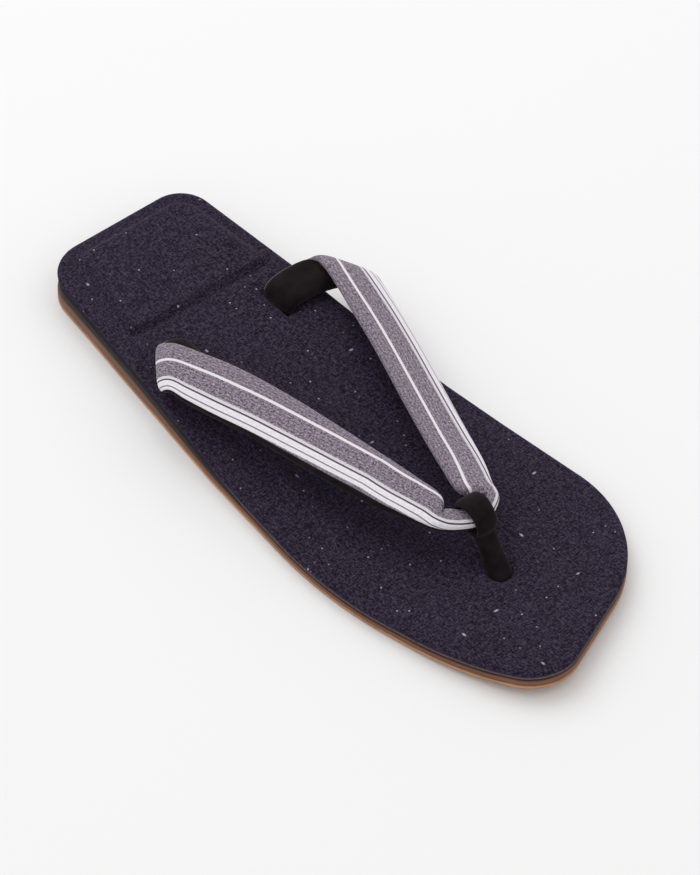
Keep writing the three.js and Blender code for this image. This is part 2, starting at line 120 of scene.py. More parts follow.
Slot = namedtuple("Slot", "name x y half_length half_width")
SLOTS = [
    Slot("outer slot", -23.2, 67.8, 7.6, 2.6),
    Slot("inner slot", 19.1, 71.4, 8.6, 2.6),
]
TOE_HOLE = (4.1, 215.8)
TOE_HOLE_RADIUS = 4.6
LIP_START = 2.4                # from the sole's outline, where the relief starts

# ---- The strap and loop --------------------------------------------------------------------

Row = namedtuple("Row", "place inside outside")
STRAP_ROWS = [
    Row("outer slot, bottom", (-22.3, 60.7, 10.5), (-22.7, 74.7, 10.5)),
    Row("outer slot, mouth", (-23.5, 60.5, 13.9), (-24.5, 75.1, 13.7)),
    Row("outer return", (-28.1, 60.3, 15.5), (-32.1, 75.9, 15.1)),
    Row("outer return, rim", (-34.1, 60.9, 16.5), (-43.1, 77.7, 14.3)),
    Row("outer fold, below", (-39.9, 62.5, 17.5), (-53.3, 80.1, 11.5)),
    Row("outer fold, crest", (-41.9, 64.9, 19.3), (-55.5, 82.7, 13.1)),
    Row("outer fold, above", (-40.5, 69.9, 21.1), (-55.1, 85.5, 15.1)),
    Row("outer arm, rear", (-37.3, 79.5, 22.1), (-53.7, 90.7, 15.3)),
    Row("outer arm", (-32.6, 93.3, 22.4), (-50.5, 100.7, 15.2)),
    Row("outer arm", (-25.5, 114.6, 22.3), (-43.5, 121.1, 15)),
    Row("outer arm, middle", (-12.9, 148.4, 22.2), (-30.5, 155.2, 15.6)),
    Row("outer arm, front", (-3.5, 174.7, 22.6), (-19.5, 181.9, 18.1)),
    Row("outer nose", (0.1, 188.1, 22.4), (-13.1, 193.1, 20.6)),
    Row("outer nose, tip", (-2.1, 191.7, 22.3), (-11.9, 196.1, 21.1)),
    Row("bridge, outer corner", (-6.1, 195.5, 21.7), (-8.7, 200.3, 21.3)),
    Row("bridge, middle", (2.3, 197.1, 21.5), (2.3, 204.3, 21.1)),
    Row("bridge, inner corner", (11.3, 193.7, 22.1), (14.1, 199.5, 21.7)),
    Row("inner nose, tip", (8.5, 191.3, 22.9), (18.1, 195.7, 22.5)),
    Row("inner nose", (5.5, 187.1, 23.3), (19.9, 191.7, 22.6)),
    Row("inner arm, front", (7, 173.6, 24.8), (25.6, 178.4, 22.9)),
    Row("inner arm, middle", (11, 151.4, 26.3), (31.2, 154.9, 22.9)),
    Row("inner arm", (16.5, 118.2, 26.6), (36.8, 121.6, 22.1)),
    Row("inner arm", (20.9, 95.2, 25.5), (40.5, 102.7, 21.1)),
    Row("inner arm, rear", (24.1, 81.7, 23.7), (42.3, 93.3, 20.9)),
    Row("inner fold, above", (27.3, 70.1, 21.9), (42.7, 86.7, 20.3)),
    Row("inner fold, crest", (29.1, 65.7, 19.7), (42.9, 83.7, 18.1)),
    Row("inner fold, below", (26.9, 63.5, 17.1), (40.5, 81.7, 15.7)),
    Row("inner return", (23.5, 62.9, 15.7), (31.9, 80.7, 15.1)),
    Row("inner slot, mouth", (19.3, 62.9, 13.7), (21.1, 79.9, 13.5)),
    Row("inner slot, bottom", (17.9, 63.1, 10.5), (18.1, 79.5, 10.5)),
]
UV_UNIT = 100                  # millimetres of cloth to one unit of its map
STRAP_HALF = 2.25              # half the band's thickness
STRAP_STEP = 1.1               # spacing of rows along the band
SECTION_STEPS = 36             # steps over the top of the band, from edge to edge
EDGE_SHARPNESS = 0.5           # below one, the band stays thick nearly to its edges

# The band's stripes across the cloth, from under the outer edge to under the inner one.
Stripe = namedtuple("Stripe", "name width colour tweed")
WHITE = (0.78, 0.74, 0.78)
PALE = (0.66, 0.62, 0.67)
GREY = (0.185, 0.152, 0.190)
DARK = (0.050, 0.036, 0.056)
STRIPES = [
    Stripe("under the outer edge", 6.35, GREY, 0.7),
    Stripe("outer white", 1.5, WHITE, 0.1),
    Stripe("thin grey", 0.45, GREY, 0.2),
    Stripe("white band", 2.1, WHITE, 0.1),
    Stripe("thin dark", 0.65, DARK, 0.2),
    Stripe("thin pale", 1.15, PALE, 0.1),
    Stripe("tweed", 7.25, GREY, 1.0),
    Stripe("bright line", 1.1, WHITE, 0.0),
    Stripe("ribbed grey", 8.6, GREY, 0.85),
    Stripe("under the inner edge", 6.0, GREY, 0.7),
]
BRIGHT_LINE_PLACE = 20.0       # from the cloth's outer side to the middle of its bright line

# How the cloth lies on the band, by distance along it from the outer slot: how far its outer and
# inner edges are drawn in, how far round from the outer edge the bright line runs, and how far
# the lining laps over the outer edge (negative where it stops short).
Lie = namedtuple("Lie", "along outer inner bright lap")
LIES = [
    Lie(0, 0, 0, 17.0, 4.4),
    Lie(24, 0, 0, 17.0, 4.4),
    Lie(34, 0.6, 0, 17.0, -1.6),
    Lie(42, 1.0, 0.3, 15.6, -1.6),
    Lie(60, 1.0, 0.3, 14.7, -1.6),
    Lie(100, 1.0, 0.3, 14.2, -1.6),
    Lie(130, 1.0, 0.3, 13.5, -1.6),
    Lie(145, 1.0, 0.3, 12.4, -1.6),
    Lie(158, 0.8, 0.3, 10.9, -1.2),
    Lie(170, 0.2, 0, 10.5, -1.0),
    Lie(178, 0, -0.4, 10.6, -0.9),
    Lie(183, 0, -3.0, 10.9, -0.8),
    Lie(187, 0, -2.0, 11.4, -0.6),
    Lie(190.5, 0, 0.9, 12.3, -0.3),
    Lie(197, 0, 1.2, 14.0, 0.2),
    Lie(205, 0, 1.3, 15.4, 1.2),
    Lie(220, 0, 1.2, 16.9, 2.0),
    Lie(240, 0, 0.7, 16.4, 1.8),
    Lie(260, 0, 0.3, 15.4, 1.5),
    Lie(280, 0, 0, 14.7, 1.1),
    Lie(312, 0, 0, 14.0, 0.7),
    Lie(320, 0, 0, 14.0, 4.4),
]
NOSE_CREASES = [160.5, 190.5]  # where the arms turn sharply into the bridge
CREASE_DEPTH = 1.5
CREASE_WIDTH = 1.5             # along the band

# The sleeve round the band's middle, as seen from the side, and its stem down to the hole.
Turn = namedtuple("Turn", "place y z half_width half_thickness")
LOOP_X = 2.3
LOOP_TURNS = [
    Turn("behind", 194.4, 21.4, 4.3, 1.05),
    Turn("top, rear", 195.2, 25.4, 4.8, 1.15),
    Turn("top", 199.8, 26.6, 5.0, 1.15),
    Turn("top, front", 204.0, 24.3, 4.7, 1.15),
    Turn("front", 206.1, 20.1, 4.4, 1.15),
    Turn("neck", 204.9, 16.9, 4.0, 1.3),
    Turn("below", 200.7, 17.2, 4.4, 1.1),
    Turn("below, rear", 196.9, 17.9, 5.0, 1.05),
]
Ring = namedtuple("Ring", "x y z wide deep")
STEM_RINGS = [
    Ring(2.3, 204.1, 17.9, 3.9, 2.4),
    Ring(2.5, 205.3, 16.3, 4.1, 2.8),
    Ring(2.9, 208.3, 13.3, 4.0, 3.0),
    Ring(3.5, 211.9, 9.7, 4.3, 3.3),
    Ring(4.1, 214.9, 6.9, 4.5, 3.6),
    Ring(4.3, 216.1, 4.9, 4.3, 3.5),
]


# ---- Curves ----------------------------------------------------------------------------------

def unit(vector):
    return vector / np.linalg.norm(vector)


def smooth(t):
    t = np.clip(t, 0, 1)
    return t * t * (3 - 2 * t)


def bell(distance, width):
    return np.exp(-(distance / width) ** 2)


def resample_closed(points, count):
    """Evenly spaced points round a closed line."""
    closed = np.vstack([points, points[:1]])
    lengths = np.r_[0, np.cumsum(np.linalg.norm(np.diff(closed, axis=0), axis=1))]
    wanted = np.linspace(0, lengths[-1], count, endpoint=False)
    return np.stack([np.interp(wanted, lengths, closed[:, axis]) for axis in (0, 1)], axis=1)


CORNER_STEPS = 40


def rounded_outline(corners, count):
    """The closed outline of a corner table, each corner turned with its own radius."""
    places = [np.array([c.x, c.y], float) for c in corners]
    points = []
    for i, corner in enumerate(corners):
        here = places[i]
        to_before = unit(places[i - 1] - here)
        to_after = unit(places[(i + 1) % len(corners)] - here)
        half = math.acos(to_before @ to_after) / 2
        start = here + to_before * corner.radius / math.tan(half)
        end = here + to_after * corner.radius / math.tan(half)
        centre = here + unit(to_before + to_after) * corner.radius / math.sin(half)
        first = math.atan2(*(start - centre)[::-1])
        last = math.atan2(*(end - centre)[::-1])
        turn = (last - first + math.pi) % (2 * math.pi) - math.pi
        for step in np.linspace(0, 1, CORNER_STEPS):
            angle = first + turn * step
            points.append(centre + corner.radius * np.array([math.cos(angle), math.sin(angle)]))
    return resample_closed(np.array(points), count)


def ring_of(corners, ends, across, along):
    """Outline points with the four named ends on whole steps: across, along, across, along."""
    fine = rounded_outline(corners, 6000)
    named = {c.name: np.array([c.x, c.y]) for c in corners}
    starts = [int(np.argmin(np.linalg.norm(fine - named[end], axis=1))) for end in ends]
    ring = []
    for side, start in enumerate(starts):
        span = (starts[(side + 1) % len(starts)] - start) % len(fine)
        steps = across if side % 2 == 0 else along
        picks = (start + np.round(span * np.arange(steps) / steps).astype(int)) % len(fine)
        ring.append(fine[picks])
    return np.vstack(ring)


def inset_ring(ring, inset):
    tangent = np.roll(ring, -1, axis=0) - np.roll(ring, 1, axis=0)
    tangent /= np.linalg.norm(tangent, axis=1)[:, None]
    return ring + inset * np.stack([-tangent[:, 1], tangent[:, 0]], axis=1)


def patch_of(ring, across, along):
    """A grid stretched between the ring's four sides; rows run from heel to toe."""
    heel = ring[:across + 1]
    medial = ring[across:across + along + 1]
    toe = ring[across + along:2 * across + along + 1][::-1]
    lateral = np.vstack([ring[2 * across + along:], ring[:1]])[::-1]
    u = np.linspace(0, 1, across + 1)[None, :, None]
    v = np.linspace(0, 1, along + 1)[:, None, None]
    sides = (1 - v) * heel[None] + v * toe[None] + (1 - u) * lateral[:, None] + u * medial[:, None]
    corners = ((1 - u) * (1 - v) * heel[0] + u * (1 - v) * heel[-1]
               + (1 - u) * v * toe[0] + u * v * toe[-1])
    return sides - corners


def signed_inside(points, ring):
    """How far each point lies inside a closed ring, in millimetres; negative outside."""
    step = np.roll(ring, -1, axis=0) - ring
    distance = np.full(len(points), np.inf)
    crossings = np.zeros(len(points), int)
    for a, d in zip(ring, step):
        offset = points - a
        t = np.clip(offset @ d / (d @ d), 0, 1)
        distance = np.minimum(distance, np.hypot(*(offset - t[:, None] * d).T))
        above = (a[1] > points[:, 1]) != (a[1] + d[1] > points[:, 1])
        if abs(d[1]) > 1e-9:
            crossings += above & (points[:, 0] < a[0] + d[0] * (points[:, 1] - a[1]) / d[1])
    return np.where(crossings % 2 == 1, distance, -distance)


def catmull_rom(points, u):
    """A centripetal spline through the points; u counts from one point to the next."""
    points = np.asarray(points, float)
    padded = np.vstack([2 * points[0] - points[1], points, 2 * points[-1] - points[-2]])
    i = np.clip(np.floor(u).astype(int), 0, len(points) - 2)
    w = (u - i)[:, None]
    p0, p1, p2, p3 = (padded[i + k] for k in range(4))
    d0, d1, d2 = (np.sqrt(np.linalg.norm(b - a, axis=1))[:, None]
                  for a, b in ((p0, p1), (p1, p2), (p2, p3)))
    leave = ((p1 - p0) / d0 - (p2 - p0) / (d0 + d1) + (p2 - p1) / d1) * d1
    arrive = ((p2 - p1) / d1 - (p3 - p1) / (d1 + d2) + (p3 - p2) / d2) * d1
    square, cube = w * w, w * w * w
    return ((2 * cube - 3 * square + 1) * p1 + (cube - 2 * square + w) * leave
            + (3 * square - 2 * cube) * p2 + (cube - square) * arrive)


# ---- Placing the sandal in the frame --------------------------------------------------------

fine_outline = rounded_outline(OUTLINE, 4000)
sole_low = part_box("outsole")[0]
SHIFT = np.array([
    sole_low[0] / MM - fine_outline[:, 0].min(),
    sole_low[1] / MM - fine_outline[:, 1].min(),
    0.0,
])


def to_frame(points):
    """Millimetres on the sandal to metres in the frame."""
    return (np.asarray(points, float) + SHIFT) * MM


# ---- Meshes ---------------------------------------------------------------------------------

class Shell:
    """Collects the points and faces of one closed piece."""

    def __init__(self):
        self.points = []
        self.faces = []

    def add(self, points):
        first = sum(len(block) for block in self.points)
        self.points.append(np.asarray(points, float).reshape(-1, 3))
        return np.arange(first, first + len(self.points[-1])).reshape(np.shape(points)[:-1])

    def grid(self, numbers):
        """Quads over a grid of point numbers."""
        a, b = numbers[:-1, :-1], numbers[:-1, 1:]
        c, d = numbers[1:, 1:], numbers[1:, :-1]
        self.faces.append(np.stack([a, b, c, d], axis=-1).reshape(-1, 4))

    def tube(self, numbers):
        """Quads between closed rings of point numbers."""
        self.grid(np.concatenate([numbers, numbers[:, :1]], axis=1))

    def closed_tube(self, rings):
        """A tube through rings of points, with a face over each end."""
        numbers = self.add(rings)
        self.tube(numbers)
        self.faces.append([list(numbers[0][::-1])])
        self.faces.append([list(numbers[-1])])

    def piece(self, name, material, uv=None):
        points = to_frame(np.vstack(self.points))
        faces = [list(map(int, face)) for block in self.faces for face in block]
        mesh = bpy.data.meshes.new(name)
        mesh.from_pydata(points.tolist(), [], faces)
        if uv is not None:
            layer = mesh.uv_layers.new(name="Cloth")
            corners = np.array([loop.vertex_index for loop in mesh.loops])
            layer.data.foreach_set("uv", uv[corners].ravel())
        tidy = bmesh.new()
        tidy.from_mesh(mesh)
        bmesh.ops.remove_doubles(tidy, verts=tidy.verts, dist=WELD)
        bmesh.ops.recalc_face_normals(tidy, faces=tidy.faces)
        tidy.to_mesh(mesh)
        tidy.free()
        mesh.shade_smooth()
        obj = bpy.data.objects.new(name, mesh)
        bpy.context.scene.collection.objects.link(obj)
        finish_piece(obj, material)
        return obj


def finish_piece(obj, material):
    obj.data.materials.clear()
    obj.data.materials.append(material)
    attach(obj, "root")


def solidified(obj, voxel, smoothing):
    """Joins a piece's overlapping parts into one skin and softens it."""
    remesh = obj.modifiers.new("join", "REMESH")
    remesh.mode = "VOXEL"
    remesh.voxel_size = voxel * MM
    soften = obj.modifiers.new("soften", "SMOOTH")
    soften.factor = 0.5
    soften.iterations = smoothing
    depsgraph = bpy.context.evaluated_depsgraph_get()
    mesh = bpy.data.meshes.new_from_object(obj.evaluated_get(depsgraph))
    obj.modifiers.clear()
    obj.data = mesh
    mesh.shade_smooth()
    return obj


# ---- Heights --------------------------------------------------------------------------------

def read_table(table, place, column, wanted):
    """Values of one column of a table, at the wanted places along it."""
    places = [getattr(row, place) for row in table]
    values = [getattr(row, column) for row in table]
    return np.interp(wanted, places, values)


def underside_z(y):
    return read_table(PROFILE, "y", "spring", y)


def outsole_top_z(y):
    return underside_z(y) + OUTSOLE_THICKNESS


def midsole_bottom_z(y):
    return outsole_top_z(y) + GAP


def midsole_top_z(y):
    return midsole_bottom_z(y) + read_table(PROFILE, "y", "midsole", y)


def wedge_bottom_z(y):
    return midsole_top_z(y) + GAP


def wedge_top_z(y):
    return wedge_bottom_z(y) + read_table(PROFILE, "y", "wedge", y)


def footbed_bottom_z(y):
    return wedge_top_z(y) + GAP


# ---- Sole layers ---------------------------------------------------------------------------

Edge = namedtuple("Edge", "inset share")


def plate(name, ring, across, along, bottom, top, edge, material):
    """A layer between two height functions whose rim follows the edge table."""
    shell = Shell()
    levels = []
    for step in edge:
        line = inset_ring(ring, step.inset)
        low, high = bottom(line[:, 1]), top(line[:, 1])
        levels.append(np.column_stack([line, low + (high - low) * step.share]))
    shell.tube(shell.add(np.array(levels)))
    for step, height in ((edge[0], bottom), (edge[-1], top)):
        grid = patch_of(inset_ring(ring, step.inset), across, along)
        shell.grid(shell.add(np.dstack([grid, height(grid[..., 1])])))
    return shell.piece(name, material)


LAYER_ACROSS, LAYER_ALONG = 30, 96
WEDGE_ACROSS, WEDGE_ALONG = 24, 48
WEDGE_INSET = 0.2
CUT_EDGE = [
    Edge(0.35, 0), Edge(0.08, 0.08), Edge(0, 0.22), Edge(0, 0.8), Edge(0.06, 0.93), Edge(0.3, 1),
]
ROUND_EDGE = [
    Edge(0.6, 0), Edge(0.15, 0.15), Edge(0, 0.4), Edge(0, 0.75), Edge(0.12, 0.93), Edge(0.4, 1),
]
FOAM_EDGE = [
    Edge(0.5, 0), Edge(0.25, 0.06), Edge(0.25, 0.5), Edge(0.4, 0.6), Edge(1.3, 0.7), Edge(1.5, 1),
]


# ---- Footbed --------------------------------------------------------------------------------

FOOTBED_ACROSS, FOOTBED_ALONG = 104, 264
RIM_EDGE = [
    Edge(2.0, 0), Edge(1.0, 0.16), Edge(0.5, 0.28), Edge(0.15, 0.42), Edge(0, 0.58),
    Edge(0.12, 0.74), Edge(0.5, 0.87), Edge(1.3, 0.96), Edge(2.4, 1),
]
LineStep = namedtuple("LineStep", "inset rise")
EDGE_LINE = [
    LineStep(0.9, 0.05), LineStep(0.35, 0.12), LineStep(0.15, 0.4), LineStep(0.25, 0.7),
    LineStep(0.7, 0.95), LineStep(1.6, 0.8), LineStep(1.8, 0.4), LineStep(1.5, 0.08),
]


def beyond_line(x, y, start, end):
    """Signed distance to the left of the line from start to end."""
    along = unit(np.subtract(end, start).astype(float))
    return along[0] * (y - start[1]) - along[1] * (x - start[0])


def heel_pad_height(points):
    """A flat pad with a crisp groove along its front and a shallow trough all round."""
    inside = signed_inside(points, rounded_outline(HEEL_PAD, 160))
    y = points[:, 1]
    soft = np.where(y > HEEL_PAD_FRONT - 3, 1.1, 3.0)
    groove = 0.95 * bell(inside + 0.7, 0.8) * smooth((y - HEEL_PAD_FRONT) / 2)
    trough = 0.38 * bell(inside + 1.8, 1.6)
    crown = 0.25 * smooth((inside - 3) / 14)
    return HEEL_PAD_HEIGHT * smooth(inside / soft) - groove - trough + crown


def arch_pad_height(points):
    """A pad under the arch, with a raised line and a valley along its medial side."""
    x, y = points.T
    from_medial = beyond_line(x, y, *ARCH_PAD_SIDE)
    from_front = beyond_line(x, y, *ARCH_PAD_FRONT)
    rear = smooth((y - 76) / 34)
    inner = 1 - smooth((from_medial - 9) / 22)
    body = ARCH_HEIGHT * smooth(from_medial / 3.4) * smooth(from_front / 3.2) * rear * inner
    ridge = 0.45 * bell(from_medial - 3.2, 1.6) * rear * smooth(from_front / 3)
    valley = 0.4 * bell(from_medial + 1.6, 2.2) * rear * smooth((from_front + 6) / 6)
    return body + ridge - valley


def toe_step_height(points, inside):
    """The middle stands higher than the toe's margin, fading out towards the heel."""
    y = points[:, 1]
    behind = np.maximum(smooth((inside - TOE_LINE_INSET) / 5), smooth((200 - y) / 10))
    return TOE_STEP_HEIGHT * behind * smooth((y - 60) / 40)


def dip_height(points):
    """The cover is drawn down round the strap's slots and the toe hole."""
    x, y = points.T
    total = np.zeros(len(points))
    for slot in SLOTS:
        dx = np.abs(x - slot.x) - slot.half_width
        dy = np.abs(y - slot.y) - slot.half_length
        outside = np.hypot(np.maximum(dx, 0), np.maximum(dy, 0)) + np.minimum(np.maximum(dx, dy), 0)
        total -= 0.7 * np.exp(-np.maximum(outside, 0) / 2.6) + 1.9 * (1 - smooth((outside + 1) / 1.8))
    round_hole = np.hypot(x - TOE_HOLE[0], y - TOE_HOLE[1]) - TOE_HOLE_RADIUS
    total -= 0.6 * np.exp(-np.maximum(round_hole, 0) / 3) + 1.6 * (1 - smooth((round_hole + 1) / 1.6))
    return total


def ripple_height(points):
    """Slow unevenness of a hand-stretched cover."""
    x, y = points.T
    return (0.10 * np.sin(x / 9.0 + 0.7 * np.sin(y / 23.0)) * np.sin(y / 13.0 + 1.1)
            + 0.06 * np.sin((x + y) / 6.3 + 1.7) * np.sin((x - y) / 11.0))


def footbed_rise(points):
    """Height of the footbed's top over its underside, away from the rolled rim."""
    inside = signed_inside(points, resample_closed(fine_outline, 700))
    settled = smooth((inside - LIP_START) / 6)
    relief = (heel_pad_height(points) + arch_pad_height(points)
              + toe_step_height(points, inside) + ripple_height(points) + dip_height(points))
    return RIM_HEIGHT + MIDDLE_RISE * smooth((inside - LIP_START) / 9) + relief * settled


def build_footbed(material):
    shell = Shell()
    ring = ring_of(OUTLINE, OUTLINE_ENDS, FOOTBED_ACROSS, FOOTBED_ALONG)
    levels = []
    for step in RIM_EDGE:
        line = inset_ring(ring, step.inset)
        levels.append(np.column_stack([line, footbed_bottom_z(line[:, 1]) + RIM_HEIGHT * step.share]))
    shell.tube(shell.add(np.array(levels)))
    grid = patch_of(inset_ring(ring, RIM_EDGE[-1].inset), FOOTBED_ACROSS, FOOTBED_ALONG)
    flat = grid.reshape(-1, 2)
    top = footbed_bottom_z(flat[:, 1]) + footbed_rise(flat)
    shell.grid(shell.add(np.dstack([grid, top.reshape(grid.shape[:2])])))
    under = patch_of(inset_ring(ring, RIM_EDGE[0].inset), FOOTBED_ACROSS, FOOTBED_ALONG)
    shell.grid(shell.add(np.dstack([under, footbed_bottom_z(under[..., 1])])))
    return shell.piece("footbed_denim", material)


def build_edge_line(material):
    """Thin strip of cloth between the footbed's cover and the leather below it; behind the waist its
    colour is painted shade for the groove under the footbed.
    """
    shell = Shell()
    ring = rounded_outline(OUTLINE, 900)
    rounds = []
    for step in EDGE_LINE + EDGE_LINE[:1]:
        line = inset_ring(ring, step.inset)
        rounds.append(np.column_stack([line, footbed_bottom_z(line[:, 1]) + step.rise]))
    shell.tube(shell.add(np.array(rounds)))
    return shell.piece("footbed_edge_line", material)


# ---- Strap -----------------------------------------------------------------------------------

def strap_lines():
    """Inner edge, outer edge and upward normal of every row, with the cloth's edges drawn in,
    and how far along the band each row is."""
    inside = np.array([row.inside for row in STRAP_ROWS], float)
    outside = np.array([row.outside for row in STRAP_ROWS], float)
    places = [np.array([0.0])]
    for i in range(len(STRAP_ROWS) - 1):
        longest = max(np.linalg.norm(edge[i + 1] - edge[i]) for edge in (inside, outside))
        steps = max(2, math.ceil(longest / STRAP_STEP))
        places.append(i + np.arange(1, steps + 1) / steps)
    u = np.concatenate(places)
    inner, outer = catmull_rom(inside, u), catmull_rom(outside, u)
    guide = 0.25 * inner + 0.75 * outer
    along = np.gradient(guide, axis=0)
    normal = np.cross(along, outer - inner)
    normal /= np.linalg.norm(normal, axis=1)[:, None]
    travelled = np.r_[0, np.cumsum(np.linalg.norm(np.diff(guide, axis=0), axis=1))]
    reach = (outer - inner) / np.linalg.norm(outer - inner, axis=1)[:, None]
    inner = inner + reach * lie_at(travelled, "inner")[:, None]
    outer = outer - reach * lie_at(travelled, "outer")[:, None]
    return inner, outer, normal, travelled


def lie_at(travelled, column):
    return read_table(LIES, "along", column, travelled)


def crease_drop(v, place_across):
    """How far the band sinks at its nose creases, deepest at its inner edge."""
    towards_inner = smooth((0.35 - place_across) / 0.8)
    sharp = sum(math.exp(-((v - crease) / CREASE_WIDTH) ** 2) for crease in NOSE_CREASES)
    return CREASE_DEPTH * sharp * towards_inner


def band_section(width, half):
    """The closed section of a padded band, thinning to its edges: offsets across and up, and the
    distance round from the middle of the outer edge, as an upper and a lower half."""
    turn = np.linspace(0, math.pi, SECTION_STEPS + 1)
    reach = np.sign(np.cos(turn)) * np.abs(np.cos(turn)) ** EDGE_SHARPNESS
    line = np.column_stack([width / 2 * reach, half * np.sin(turn)])
    round_it = np.r_[0, np.cumsum(np.linalg.norm(np.diff(line, axis=0), axis=1))]
    top = np.column_stack([line, round_it])
    bottom = top[::-1][1:-1] * [1, -1, 1]
    return top, bottom


def build_strap_cover(material):
    shell = Shell()
    inner, outer, normal, travelled = strap_lines()
    rings, uv = [], []
    for a, b, up, v, bright in zip(inner, outer, normal, travelled, lie_at(travelled, "bright")):
        width = np.linalg.norm(b - a)
        reach = (b - a) / width
        top, bottom = band_section(width, STRAP_HALF)
        full = top[-1, 2]
        section = np.vstack([top, bottom])
        height = section[:, 1] - crease_drop(v, section[:, 0] / (width / 2))
        rings.append((a + b) / 2 + section[:, :1] * reach + height[:, None] * up)
        under = np.where(bottom[:, 2] > full / 2, 2 * full - bottom[:, 2], -bottom[:, 2])
        around = np.concatenate([top[:, 2], under]) - bright + BRIGHT_LINE_PLACE
        uv.append(np.column_stack([around, np.full(len(around), v)]))
    shell.closed_tube(np.array(rings))
    return shell.piece("strap_cover", material, uv=np.vstack(uv) / UV_UNIT)


LINING_MARGIN = 1.6            # where the lining stops short of the band's inner edge
LINING_THICKNESS = 0.45
LINING_SUNK = 0.15             # how deep its inner side lies in the cover
LINING_STEPS = 30
THIN_STEPS = 1.5               # steps from its edge at which it is fully thick
THINNEST = 0.15                # share of the thickness left at its edge


def section_normals(section):
    """Outward directions round a section given as offsets across and up."""
    along = np.roll(section, -1, axis=0) - np.roll(section, 1, axis=0)
    along /= np.maximum(np.linalg.norm(along, axis=1), 1e-9)[:, None]
    return np.column_stack([along[:, 1], -along[:, 0]])


def build_strap_lining(material):
    """Velvet under the band, from near its inner edge to over or short of its outer edge."""
    shell = Shell()
    inner, outer, normal, travelled = strap_lines()
    rings = []
    for a, b, up, v, lap in zip(inner, outer, normal, travelled, lie_at(travelled, "lap")):
        width = np.linalg.norm(b - a)
        reach = (b - a) / width
        top, bottom = band_section(width, STRAP_HALF)
        full = top[-1, 2]
        section = np.vstack([top, bottom])
        facing = section_normals(section[:, :2])
        place = np.concatenate([top[:, 2], 2 * full - bottom[:, 2], 2 * full + top[:, 2]])
        outline = np.vstack([section[:, :2], top[:, :2]])
        facing = np.vstack([facing, facing[:len(top)]])
        wanted = np.linspace(full + LINING_MARGIN, 2 * full + lap, LINING_STEPS)
        on, out = (np.column_stack([np.interp(wanted, place, line[:, axis]) for axis in (0, 1)])
                   for line in (outline, facing))
        from_edge = np.minimum(np.arange(LINING_STEPS), np.arange(LINING_STEPS)[::-1])
        taper = np.clip(from_edge / THIN_STEPS, THINNEST, 1)
        shallow = on - LINING_SUNK * out
        proud = on + (LINING_THICKNESS * taper)[:, None] * out
        loop = np.vstack([proud, shallow[::-1]])
        height = loop[:, 1] - crease_drop(v, loop[:, 0] / (width / 2))
        rings.append((a + b) / 2 + loop[:, :1] * reach + height[:, None] * up)
    shell.closed_tube(np.array(rings))
    return shell.piece("strap_lining", material)


# ---- Front loop ------------------------------------------------------------------------------

OVAL_STEPS = 28
OVAL_SHARPNESS = 0.72          # below one, the oval's sides are flatter than an ellipse's
LOOP_STEPS = 72
STEM_STEPS = 30
LOOP_VOXEL = 0.4
LOOP_SOFTENING = 6


def flattened_ring(half_wide, half_deep):
    """An oval with nearly flat sides."""
    angle = np.linspace(0, 2 * math.pi, OVAL_STEPS, endpoint=False)
    c, s = np.cos(angle), np.sin(angle)
    return np.column_stack([half_wide * np.sign(c) * np.abs(c) ** OVAL_SHARPNESS,
                            half_deep * np.sign(s) * np.abs(s) ** OVAL_SHARPNESS])


def add_sleeve(shell):
    """The ring of velvet round the band, an oval section carried once round the turns."""
    table = np.array([[t.y, t.z, t.half_width, t.half_thickness] for t in LOOP_TURNS])
    count = len(table)
    wrapped = np.vstack([table] * 3)
    turns = catmull_rom(wrapped, np.linspace(count, 2 * count, LOOP_STEPS + 1))
    tangent = np.gradient(turns, axis=0)[:-1, :2]
    tangent /= np.linalg.norm(tangent, axis=1)[:, None]
    rings = []
    for (y, z, wide, thick), (ty, tz) in zip(turns, tangent):
        oval = flattened_ring(wide, thick)
        rings.append(np.column_stack([
            LOOP_X + oval[:, 0], y - oval[:, 1] * tz, z + oval[:, 1] * ty,
        ]))
    rings.append(rings[0])
    shell.tube(shell.add(np.array(rings)))


def add_stem(shell):
    """The stem from under the sleeve down into the toe hole."""
    table = np.array(STEM_RINGS, float)
    rings = []
    for x, y, z, wide, deep in catmull_rom(table, np.linspace(0, len(table) - 1, STEM_STEPS)):
        oval = flattened_ring(wide, deep)
        rings.append(np.column_stack([x + oval[:, 0], y + oval[:, 1], np.full(OVAL_STEPS, z)]))
    shell.closed_tube(np.array(rings))


def build_front_loop(material):
    shell = Shell()
    add_sleeve(shell)
    add_stem(shell)
    loop = shell.piece("front_loop_velvet", material)
    return solidified(loop, LOOP_VOXEL, LOOP_SOFTENING)


# ---- Shader arithmetic -------------------------------------------------------------------------

class Signal:
    """A shader socket that ordinary arithmetic works on."""

    def __init__(self, finish, socket):
        self.finish = finish
        self.socket = socket

    def math(self, operation, first, second):
        return self.finish.node("ShaderNodeMath", {"operation": operation}, {0: first, 1: second})

    def __add__(self, other):
        return self.math("ADD", self, other)

    __radd__ = __add__

    def __mul__(self, other):
        return self.math("MULTIPLY", self, other)

    __rmul__ = __mul__


